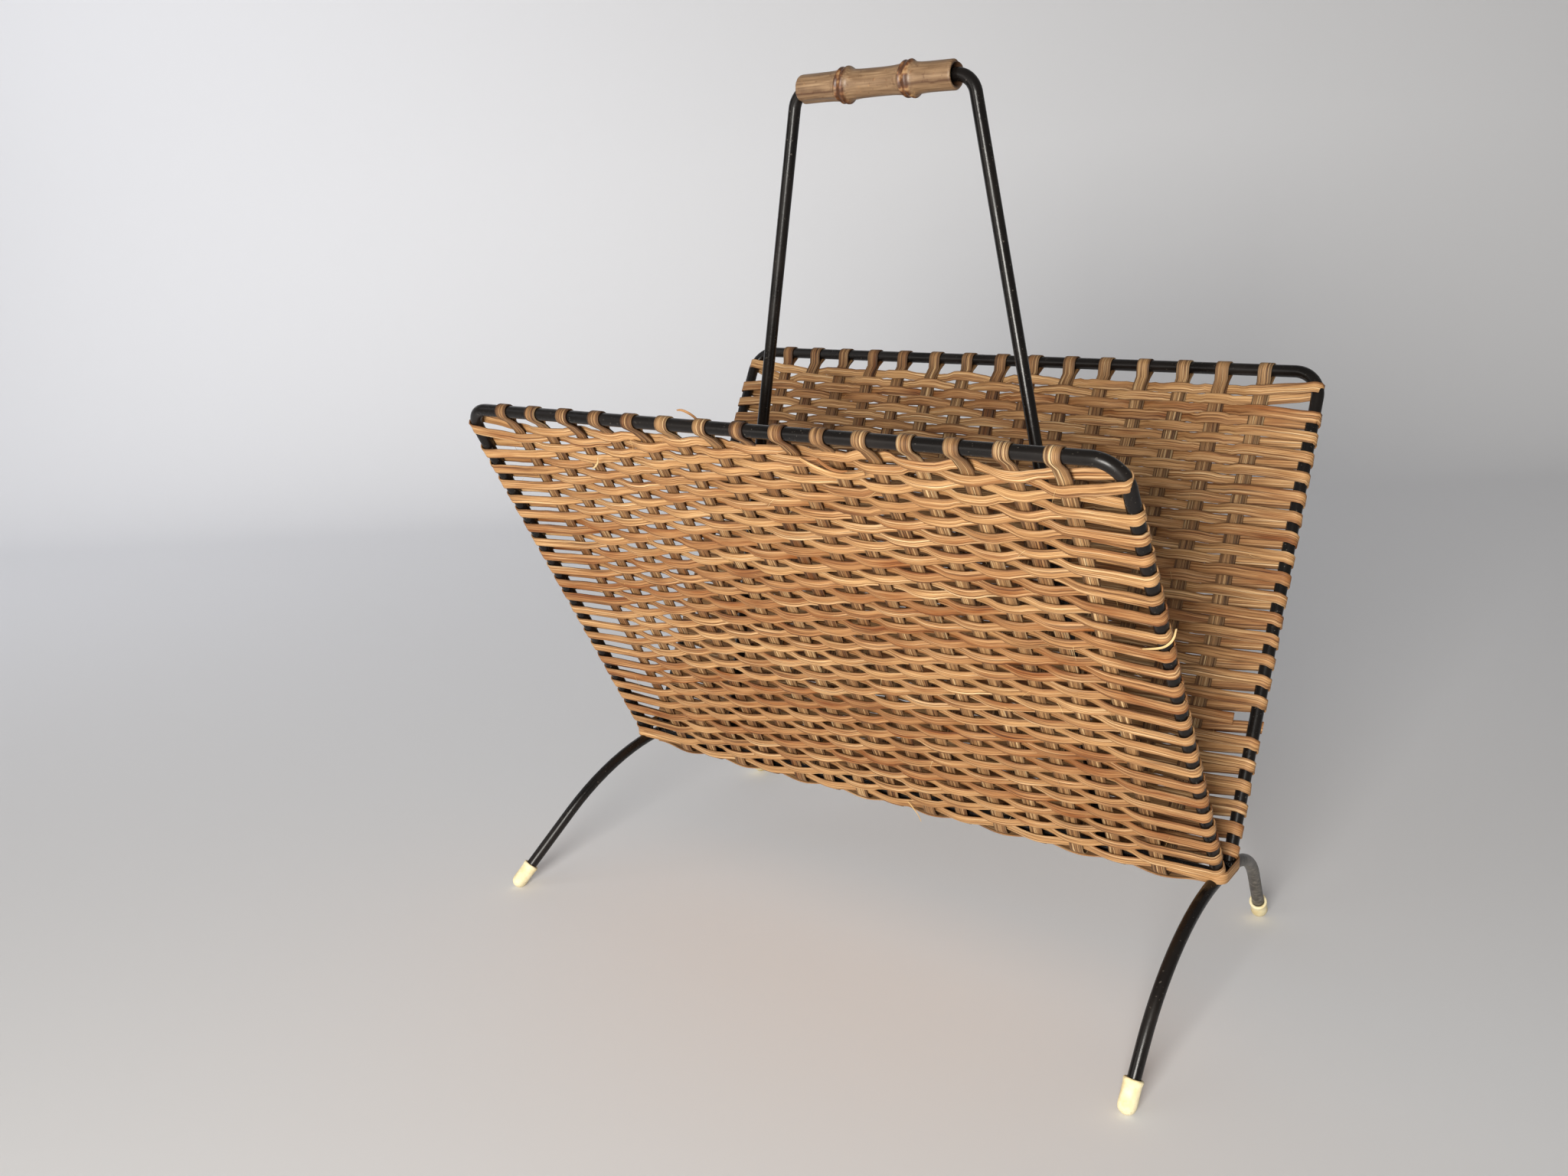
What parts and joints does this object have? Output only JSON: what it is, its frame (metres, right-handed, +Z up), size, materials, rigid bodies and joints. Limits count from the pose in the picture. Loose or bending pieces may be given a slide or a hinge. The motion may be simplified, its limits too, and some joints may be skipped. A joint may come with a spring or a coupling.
{
  "type": "magazine basket",
  "caption": "V-shaped magazine basket of woven flat cane on a bent black rod frame, with arched legs and a tall handle with a loose bamboo grip.",
  "frame": {"origin": "on the floor, under the middle of the outline box", "axes": "+X along the basket to its right, +Y to its rear, +Z up"},
  "size_m": [0.4478, 0.2848, 0.5059],
  "materials": {
    "black_enamel": "worn semi-gloss black enamel on bent steel rod",
    "weaver_cane": "flat split cane, golden tan, satin",
    "stake_cane": "flat split cane, darker and drier, fine lengthwise grain",
    "bamboo": "aged bamboo with red-brown node scars",
    "cream_rubber": "matt cream rubber"
  },
  "bodies": {
    "frame": {"front_hoop": "black_enamel", "rear_hoop": "black_enamel", "left_leg_arch": "black_enamel", "right_leg_arch": "black_enamel", "bottom_rail": "black_enamel", "handle_rod": "black_enamel", "foot_cap_front_left": "cream_rubber", "foot_cap_front_right": "cream_rubber", "foot_cap_rear_left": "cream_rubber", "foot_cap_rear_right": "cream_rubber", "stake_01": "stake_cane", "stake_02": "stake_cane", "stake_03": "stake_cane", "stake_04": "stake_cane", "stake_05": "stake_cane", "stake_06": "stake_cane", "stake_07": "stake_cane", "stake_08": "stake_cane", "stake_09": "stake_cane", "stake_10": "stake_cane", "stake_11": "stake_cane", "stake_12": "stake_cane", "stake_13": "stake_cane", "stake_14": "stake_cane", "stake_15": "stake_cane", "front_weave": "weaver_cane", "rear_weave": "weaver_cane", "bottom_weave": "weaver_cane"},
    "grip": {"bamboo_grip": "bamboo"}
  },
  "joints": [
    {"name": "grip_spin", "type": "hinge", "parent": "frame", "child": "grip", "pos_m": [0.01614, 0, 0.4958], "axis": [1, 0, 0], "continuous": true}
  ]
}
